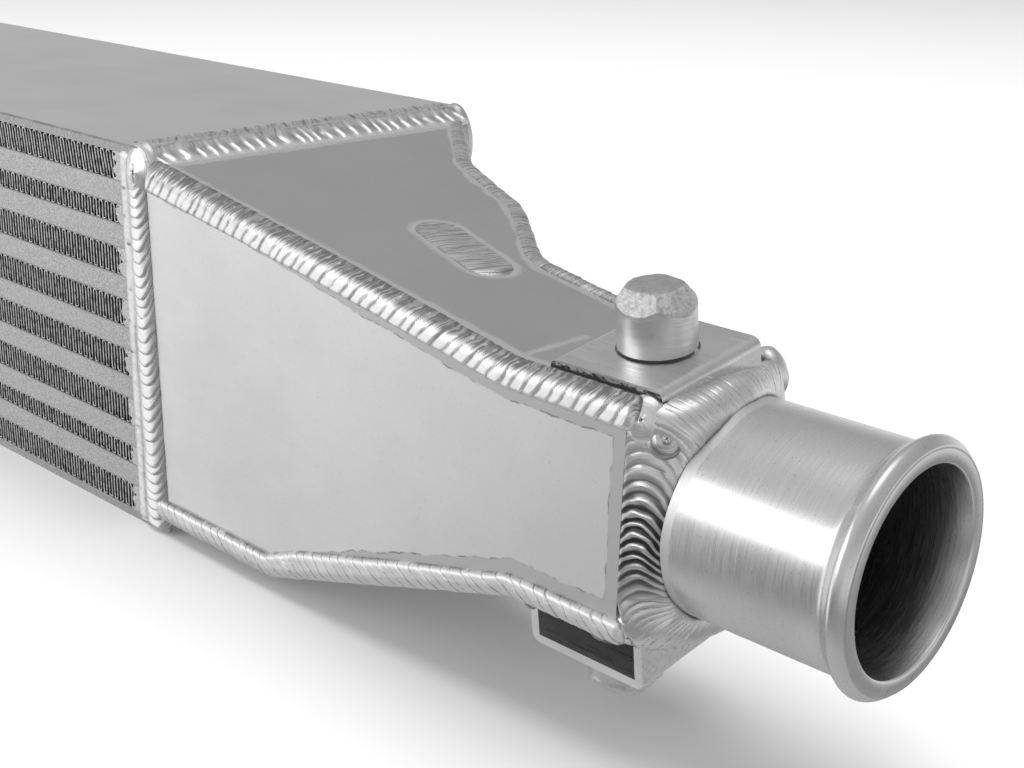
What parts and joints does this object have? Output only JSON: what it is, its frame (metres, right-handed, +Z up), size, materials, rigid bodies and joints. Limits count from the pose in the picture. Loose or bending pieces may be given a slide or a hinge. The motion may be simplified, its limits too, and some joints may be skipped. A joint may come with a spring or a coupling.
{
  "type": "charge air intercooler",
  "caption": "Bar-and-plate charge air intercooler: finned rectangular core between two welded sheet end tanks with beaded hose pipes, brackets and locating pegs.",
  "frame": {"origin": "centre of the part's footprint, on the surface that the core's bottom plate rests on", "axes": "+X along the core towards the end shown in the picture, -Y out of the face that shows the fins, +Z up"},
  "size_m": [1.03, 0.1428, 0.1308],
  "materials": {
    "core": "matt sand-textured bar and brushed plate",
    "fins": "thin rolled sheet",
    "tank": "fine satin sheet",
    "weld": "bright rippled weld metal",
    "pipe": "turned and brushed",
    "peg": "turned, ground end",
    "bracket": "cut and folded sheet"
  },
  "bodies": {
    "root": {"air_fins_1": "fins", "air_fins_2": "fins", "air_fins_3": "fins", "air_fins_4": "fins", "air_fins_5": "fins", "air_fins_6": "fins", "air_fins_7": "fins", "air_fins_8": "fins", "back_bottom_seam_beads": "weld", "back_top_seam_beads": "weld", "bottom_brackets": "bracket", "bottom_pegs": "peg", "core_bottom_plate": "core", "core_joint_beads": "weld", "core_top_plate": "core", "end_plates": "tank", "front_bottom_seam_beads": "weld", "front_top_seam_beads": "weld", "hose_pipes": "pipe", "parting_sheets": "core", "passage_bars_1": "core", "passage_bars_2": "core", "passage_bars_3": "core", "passage_bars_4": "core", "passage_bars_5": "core", "passage_bars_6": "core", "passage_bars_7": "core", "patch_beads": "weld", "pipe_collar_beads": "weld", "row_end_bars_left": "core", "row_end_bars_right": "core", "tank_back_wall_left": "tank", "tank_back_wall_right": "tank", "tank_bottom_panel_left": "tank", "tank_bottom_panel_right": "tank", "tank_front_panel_left": "tank", "tank_front_panel_right": "tank", "tank_top_panel_left": "tank", "tank_top_panel_right": "tank", "top_brackets": "bracket", "top_pegs": "peg", "turbulator_1": "fins", "turbulator_2": "fins", "turbulator_3": "fins", "turbulator_4": "fins", "turbulator_5": "fins", "turbulator_6": "fins", "turbulator_7": "fins"}
  },
  "joints": []
}
